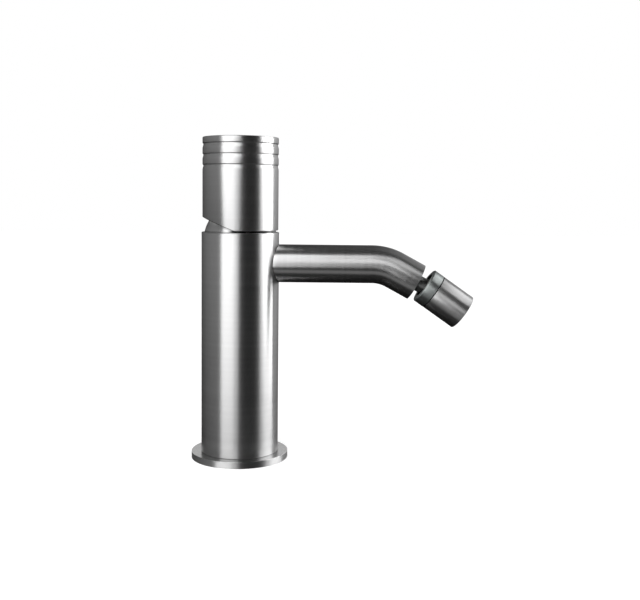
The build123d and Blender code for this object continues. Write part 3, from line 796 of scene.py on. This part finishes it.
# A groove from its lower end up: a slow slope in to the deepest line, then a short steep ledge
def grooveLine(shape, middle):
    top = middle + shape["grooveTop"]
    deepest = top - shape["grooveLedge"]
    foot = top - shape["grooveReach"]
    points = []
    for step in range(shape["grooveSteps"] + 1):
        share = step / shape["grooveSteps"]
        inward = shape["grooveDepth"] * (1 - cos(share * pi)) / 2
        points.append((shape["radius"] - inward, foot + (deepest - foot) * share))
    ledgeRadius = shape["radius"] - shape["grooveDepth"] * shape["ledgeDepthShare"]
    points.append((ledgeRadius, deepest + shape["grooveLedge"] * shape["ledgeRiseShare"]))
    points.append((shape["radius"], top))
    return points


def makeHandle(shape):
    lowAngle = angleAtHeight(shape["hollow"], shape["low"] - shape["pivot"])
    boreAngle = angleAtRadius(shape["hollow"], shape["bore"])
    outline = [(shape["bore"], shape["boreTop"])]
    outline += arcPoints(shape["hollow"], shape["pivot"], boreAngle, lowAngle, shape["hollowSteps"])
    outline.append((shape["radius"] - shape["edge"], shape["low"]))
    outline.append((shape["radius"], shape["low"] + shape["edge"]))
    for step in reversed(range(shape["grooves"])):
        outline += grooveLine(shape, shape["high"] - shape["firstGroove"] - step * shape["groovePitch"])
    outline.append((shape["radius"], shape["high"] - shape["edge"]))
    outline.append((shape["radius"] - shape["edge"], shape["high"]))
    handle = turnPiece("handleSleeve", outline, shape["sides"], hollow=False)
    bpy.ops.object.mode_set(mode="EDIT")
    bpy.ops.mesh.select_all(action="SELECT")
    bpy.ops.mesh.bisect(
        plane_co=cutPlace, plane_no=cutWay, use_fill=True, clear_inner=True, threshold=splitReach,
    )
    bpy.ops.object.mode_set(mode="OBJECT")
    cutter = turnRod("plugHole", shape["plugHole"], 0, shape["plugHoleReach"], shape["plugHoleSides"])
    seat(cutter, (0, 0, shape["plugHeight"] * mm), (0, -pi / 2, 0))
    cutAway(handle, cutter)
    softenEdges(handle, shape["soften"])
    finishPiece(handle, handleSteel, "handle", "handle_sleeve")
    # painted shade: the faces on the cut plane get the dark cut steel
    paintFaces(handle, cutShadeSteel, lambda middle: abs((middle - cutPlace).dot(cutWay)) < shape["cutEdge"] * mm)


makeHandle(handleShape)


# Index plug, flush with the handle's back

plugShape = {
    "radius": 2.45, "height": handleShape["plugHeight"], "inner": 16.55, "outer": 19.5, "stock": 21,
    "halfHeight": 5, "sides": 96, "edge": 0.2, "edgeSegments": 4, "edgeAngle": 40,
}


def makePlug(shape):
    plug = turnRod("indexPlug", shape["radius"], shape["inner"], shape["stock"], shape["sides"])
    seat(plug, (0, 0, shape["height"] * mm), (0, -pi / 2, 0))
    low = shape["height"] - shape["halfHeight"]
    high = shape["height"] + shape["halfHeight"]
    cutAway(plug, turnRod("plugFace", shape["outer"], low, high, handleShape["sides"]), "INTERSECT")
    softenEdges(plug, shape["edge"], shape["edgeSegments"], shape["edgeAngle"])
    finishPiece(plug, columnSteel, "handle", "index_plug")


makePlug(plugShape)


# Spout: a tube with one bend, cut to a saddle at its root

spoutShape = {
    "radius": 9.85, "wall": 1.2, "height": columnShape["holeHeight"], "root": 14.5, "saddle": 18.2,
    "saddleSides": 256, "bendStart": 68.3, "bendRadius": 25.0, "bend": 28.5, "tail": 12.7, "sides": 192,
    "bendSteps": 24, "runSteps": 10, "soften": 0.12, "softenAngle": 50,
}
bendAngle = radians(spoutShape["bend"])
bendCentre = Vector((spoutShape["bendStart"], 0, spoutShape["height"] - spoutShape["bendRadius"]))
spoutFinish = steelFinish | {"stretch": 0.6, "rough": (0.28, 0.32)}
spoutSteel = makeBrushedSteel("spoutSteel", spoutFinish, followSpout)


def makeSpout(shape):
    start = (shape["root"] * mm, 0, shape["height"] * mm)
    spout = openRing("spoutTube", shape["radius"], start, shape["sides"], (0, pi / 2, 0))
    run = (shape["bendStart"] - shape["root"]) / shape["runSteps"]
    for step in range(shape["runSteps"]):
        bpy.ops.mesh.extrude_region_move(TRANSFORM_OT_translate={"value": (run * mm, 0, 0)})
    bpy.ops.mesh.spin(steps=shape["bendSteps"], angle=bendAngle, center=bendCentre * mm, axis=(0, -1, 0))
    tail = (shape["tail"] * cos(bendAngle) * mm, 0, -shape["tail"] * sin(bendAngle) * mm)
    bpy.ops.mesh.extrude_region_move(TRANSFORM_OT_translate={"value": tail})
    endShape()
    bpy.ops.object.modifier_add(type="SOLIDIFY")
    wall = spout.modifiers[-1]
    wall.thickness = shape["wall"] * mm
    wall.offset = -1
    bpy.ops.object.modifier_apply(modifier=wall.name)
    low = shape["height"] - 2 * shape["radius"]
    high = shape["height"] + 2 * shape["radius"]
    cutAway(spout, turnRod("saddleCut", shape["saddle"], low, high, shape["saddleSides"]))
    softenEdges(spout, shape["soften"], angle=shape["softenAngle"])
    finishPiece(spout, spoutSteel, "body", "spout_tube")


makeSpout(spoutShape)


# The ball joint's centre, and the ways that the spout's tail and the nozzle point

jointShape = {"standOff": 10.6, "droop": 6.5}
nozzleAngle = spoutShape["bend"] + jointShape["droop"]


def pointDown(angle):
    return Vector((cos(radians(angle)), 0, -sin(radians(angle))))


tailWay = pointDown(spoutShape["bend"])
nozzleWay = pointDown(nozzleAngle)
bendEnd = bendCentre + Vector((sin(bendAngle), 0, cos(bendAngle))) * spoutShape["bendRadius"]
ballCentre = (bendEnd + tailWay * (spoutShape["tail"] + jointShape["standOff"])) * mm
studTurn = (0, radians(90 + spoutShape["bend"]), 0)
nozzleTurn = (0, radians(90 + nozzleAngle), 0)


# How far a place is from the nozzle's axis, and how far along it from the ball's centre, in millimetres
def fromNozzleAxis(place):
    away = (place - ballCentre) / mm
    along = away.dot(nozzleWay)
    return (away - nozzleWay * along).length, along


# Ball stud

studShape = {
    "ball": 7.2, "neck": 4.2, "bore": 2.6, "shoulder": 6.4, "shank": 5.0, "front": -11.1, "back": -21.8,
    "shoulderGap": 0.05, "shoulderThickness": 0.4, "sides": 160, "ballSteps": 24, "soften": 0.06,
}
neckFinish = steelFinish | {
    "tint": (0.22, 0.22, 0.22, 1), "rough": (0.34, 0.42), "wear": 0.12, "streaks": 0.1, "patchScale": 160.0,
}
neckSteel = makeBrushedSteel("neckSteel", neckFinish, tailWay, ballCentre)


def makeStud(shape):
    neckAngle = -angleAtRadius(shape["ball"], shape["neck"])
    mouthAngle = angleAtRadius(shape["ball"], shape["bore"])
    shoulderBack = shape["front"] + shape["shoulderGap"]
    shoulderFront = shoulderBack + shape["shoulderThickness"]
    outline = [
        (shape["bore"], shape["back"]),
        (shape["shank"], shape["back"]),
        (shape["shank"], shoulderBack),
        (shape["shoulder"], shoulderBack),
        (shape["shoulder"], shoulderFront),
        (shape["neck"], shoulderFront),
    ]
    outline += arcPoints(shape["ball"], 0, neckAngle, mouthAngle, shape["ballSteps"])
    stud = turnPiece("ballStud", outline, shape["sides"])
    softenEdges(stud, shape["soften"])
    seat(stud, ballCentre, studTurn)
    finishPiece(stud, neckSteel, "ball_stud", "ball_stud")


makeStud(studShape)


# Collar, with painted shade inside its mouth

collarShape = {
    "radius": 9.6, "open": -6.2, "back": -0.6, "edge": 0.4, "throat": -4.0, "socket": 7.28, "mouth": 6.68,
    "mouthRim": 0.1, "thread": 8.55, "threadStart": -2.8, "sides": 192, "socketSteps": 6, "soften": 0.06,
}
collarFinish = steelFinish | {
    "tint": (0.72, 0.77, 0.76, 1), "rough": (0.34, 0.4), "stretch": 0.6, "patchScale": 90.0,
}
# A near-black copy of the steel: painted shade in the seam between collar and nozzle and inside the collar's
# mouth
seamShadeFinish = steelFinish | {"tint": (0.02, 0.02, 0.02, 1), "rough": (0.5, 0.6), "wear": 0.0, "streaks": 0.2}
collarSteel = makeBrushedSteel("collarSteel", collarFinish, nozzleWay, ballCentre)
seamShadeSteel = makeBrushedSteel("seamShadeSteel", seamShadeFinish, nozzleWay, ballCentre)


def makeCollar(shape):
    throatAngle = angleAtHeight(shape["socket"], shape["throat"])
    threadAngle = angleAtHeight(shape["socket"], shape["threadStart"])
    outline = [(shape["mouth"], shape["open"])]
    outline += arcPoints(shape["socket"], 0, throatAngle, threadAngle, shape["socketSteps"])
    outline += [
        (shape["thread"], shape["threadStart"]),
        (shape["thread"], shape["back"]),
        (shape["radius"], shape["back"]),
        (shape["radius"], shape["open"] + shape["edge"]),
        (shape["radius"] - shape["edge"], shape["open"]),
    ]
    collar = turnPiece("swivelCollar", outline, shape["sides"])
    softenEdges(collar, shape["soften"])
    seat(collar, ballCentre, nozzleTurn)
    finishPiece(collar, collarSteel, "nozzle", "swivel_collar")
    darkRadius = shape["mouth"] + shape["mouthRim"]
    # painted shade: the faces inside the mouth get the near-black seam steel
    paintFaces(collar, seamShadeSteel, lambda middle: fromNozzleAxis(middle)[0] < darkRadius)


makeCollar(collarShape)


# Nozzle, with painted shade where it meets the collar

nozzleShape = {
    "radius": 9.55, "start": -0.15, "end": 18.45, "edge": 0.3, "spigot": 8.5, "spigotStart": -2.75,
    "seatBore": 7.7, "chamber": 6.4, "chamberHole": 5.9, "aeratorStart": 8.0, "aeratorThread": 8.7,
    "sides": 192, "soften": 0.08,
}
nozzleFinish = spoutFinish | {"tint": (0.84, 0.84, 0.84, 1), "rough": (0.3, 0.34)}
nozzleSteel = makeBrushedSteel("nozzleSteel", nozzleFinish, nozzleWay, ballCentre)


def makeNozzle(shape):
    outline = [
        (shape["seatBore"], shape["spigotStart"]),
        (shape["spigot"], shape["spigotStart"]),
        (shape["spigot"], shape["start"]),
        (shape["radius"], shape["start"]),
        (shape["radius"], shape["end"] - shape["edge"]),
        (shape["radius"] - shape["edge"], shape["end"]),
        (shape["aeratorThread"], shape["end"]),
        (shape["aeratorThread"], shape["aeratorStart"]),
        (shape["chamberHole"], shape["aeratorStart"]),
        (shape["chamberHole"], shape["chamber"]),
        (shape["seatBore"], shape["chamber"]),
    ]
    nozzle = turnPiece("nozzleShell", outline, shape["sides"])
    softenEdges(nozzle, shape["soften"])
    seat(nozzle, ballCentre, nozzleTurn)
    finishPiece(nozzle, nozzleSteel, "nozzle", "nozzle_housing")
    # painted shade: the spigot faces in the seam get the near-black seam steel
    paintFaces(nozzle, seamShadeSteel, lambda middle: fromNozzleAxis(middle)[1] < shape["start"] + faceSlack)


makeNozzle(nozzleShape)


# Other finishes, for what is inside or under the mixer

finishes = {
    "brass": {
        "tint": (0.74, 0.52, 0.24, 1), "tone": (0.86, 0.97), "rough": (0.24, 0.36),
        "streaks": 0.06, "wear": 0.12, "smudge": 0.15, "lines": 5000.0, "drift": 90.0, "depth": 0.3,
        "patchScale": 120.0, "metal": 1.0, "gloss": 0.5, "coat": 0.0,
    },
    "fixingSteel": {
        "tint": (0.72, 0.73, 0.74, 1), "tone": (0.84, 0.97), "rough": (0.26, 0.38),
        "streaks": 0.05, "wear": 0.15, "smudge": 0.15, "lines": 7000.0, "drift": 140.0, "depth": 0.25,
        "patchScale": 160.0, "metal": 1.0, "gloss": 0.5, "coat": 0.0,
    },
    "palePlastic": {
        "tint": (0.78, 0.78, 0.75, 1), "tone": (0.93, 1.0), "rough": (0.42, 0.5),
        "streaks": 0.01, "wear": 0.06, "smudge": 0.1, "lines": 1500.0, "drift": 1800.0, "depth": 0.35,
        "patchScale": 140.0, "metal": 0.0, "gloss": 0.5, "coat": 0.05,
    },
    "darkPlastic": {
        "tint": (0.045, 0.046, 0.05, 1), "tone": (0.8, 1.0), "rough": (0.4, 0.5),
        "streaks": 0.02, "wear": 0.25, "smudge": 0.12, "lines": 1500.0, "drift": 1800.0, "depth": 0.35,
        "patchScale": 200.0, "metal": 0.0, "gloss": 0.45, "coat": 0.0,
    },
    "ceramic": {
        "tint": (0.88, 0.87, 0.83, 1), "tone": (0.96, 1.0), "rough": (0.12, 0.2),
        "streaks": 0.01, "wear": 0.04, "smudge": 0.2, "lines": 3000.0, "drift": 3000.0, "depth": 0.08,
        "patchScale": 260.0, "metal": 0.0, "gloss": 0.6, "coat": 0.2,
    },
    "rubber": {
        "tint": (0.03, 0.03, 0.03, 1), "tone": (0.75, 1.0), "rough": (0.6, 0.75),
        "streaks": 0.05, "wear": 0.3, "smudge": 0.1, "lines": 2600.0, "drift": 2600.0, "depth": 0.5,
        "patchScale": 300.0, "metal": 0.0, "gloss": 0.25, "coat": 0.0,
    },
}

# the axes that the carried-over nodes were turned about: way and a place on the axis
supplyOffset = 6.3 * mm
axes = {
    "Upright": (upright, origin),
    "Hot": (upright, (0, -supplyOffset, 0)),
    "Cold": (upright, (0, supplyOffset, 0)),
    "Spout": (alongX, (0, 0, spoutShape["height"] * mm)),
    "Pin": (alongY, (0, 0, handleShape["pivot"] * mm)),
    "Grub": (alongX, (0, 0, plugShape["height"] * mm)),
    "Stud": (tailWay, ballCentre),
    "Nozzle": (nozzleWay, ballCentre),
}

carriedNodes = {
    "brass": {"Upright": ["base_block", "valve_core", "locking_ring"], "Spout": ["spout_nipple"]},
    "fixingSteel": {
        "Upright": ["flange_screws", "lever_stem"], "Hot": ["hot_pipe"], "Cold": ["cold_pipe"],
        "Pin": ["lever_pin"], "Grub": ["grub_screw"], "Stud": ["stud_clip"],
    },
    "palePlastic": {
        "Upright": ["cartridge_housing", "cartridge_base", "cartridge_rotor", "handle_hub"],
        "Stud": ["spout_end_bush"], "Nozzle": ["ball_seat_ring"],
    },
    "darkPlastic": {"Upright": ["disc_carrier"], "Nozzle": ["aerator_diffuser", "outlet_grid"]},
    "ceramic": {"Upright": ["fixed_disc", "moving_disc"]},
    "rubber": {
        "Upright": ["base_gasket", "pipe_o_rings", "port_seals", "housing_o_ring"], "Spout": ["spout_o_ring"],
        "Stud": ["stud_o_ring"], "Nozzle": ["ball_o_ring", "aerator_washer"],
    },
}

for kind, groups in carriedNodes.items():
    for axisName, nodeNames in groups.items():
        material = makeSolid(kind + axisName, finishes[kind], *axes[axisName])
        for nodeName in nodeNames:
            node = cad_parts[nodeName]
            if not node.material_slots:
                node.data.materials.append(material)
            for slot in node.material_slots:
                slot.material = material
print("inner parts finished")


# Aerator cage, in the nozzle's outlet

cageShape = {
    "radius": 8.65, "bore": 7.45, "start": 9.2, "end": 17.45, "ledge": 12.0, "ledgeThickness": 0.8,
    "inner": 6.45, "lip": 0.6, "sides": 144, "soften": 0.12,
}
cagePlastic = makeSolid("cagePlastic", finishes["darkPlastic"], *axes["Nozzle"])


def makeCage(shape):
    lipStart = shape["end"] - shape["lip"]
    ledgeEnd = shape["ledge"] + shape["ledgeThickness"]
    outline = [
        (shape["bore"], shape["start"]),
        (shape["radius"], shape["start"]),
        (shape["radius"], shape["end"]),
        (shape["inner"], shape["end"]),
        (shape["inner"], lipStart),
        (shape["bore"], lipStart),
        (shape["bore"], ledgeEnd),
        (shape["inner"], ledgeEnd),
        (shape["inner"], shape["ledge"]),
        (shape["bore"], shape["ledge"]),
    ]
    cage = turnPiece("aeratorCage", outline, shape["sides"])
    softenEdges(cage, shape["soften"])
    seat(cage, ballCentre, nozzleTurn)
    finishPiece(cage, cagePlastic, "nozzle", "aerator_cage")


makeCage(cageShape)


# All soft boxes but the two on the left are flagged off from every piece that they aren't there for

flags = {
    "spoutBox": ["spoutTube"],
    "tailBox": ["spoutTube"],
    "frontBox": ["swivelCollar", "nozzleShell"],
    "tableBox": ["spoutTube", "swivelCollar", "nozzleShell"],
    "nozzleBox": ["swivelCollar", "nozzleShell"],
    "flangeBox": ["baseFlange"],
    "handleBox": ["handleSleeve"],
}
flags["rightBox"] = [
    "baseFlange", "columnTube", "domeCover", "handleSleeve", "indexPlug", "ballStud", "aeratorCage",
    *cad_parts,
]
flags["rightInnerEdge"] = flags["rightBox"]
for boxName, pieceNames in flags.items():
    lit = bpy.data.collections.new(boxName + "Only")
    for pieceName in pieceNames:
        piece = bpy.data.objects.get(pieceName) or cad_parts[pieceName]
        lit.objects.link(piece)
    bpy.data.objects[boxName].light_linking.receiver_collection = lit
print("soft boxes flagged")
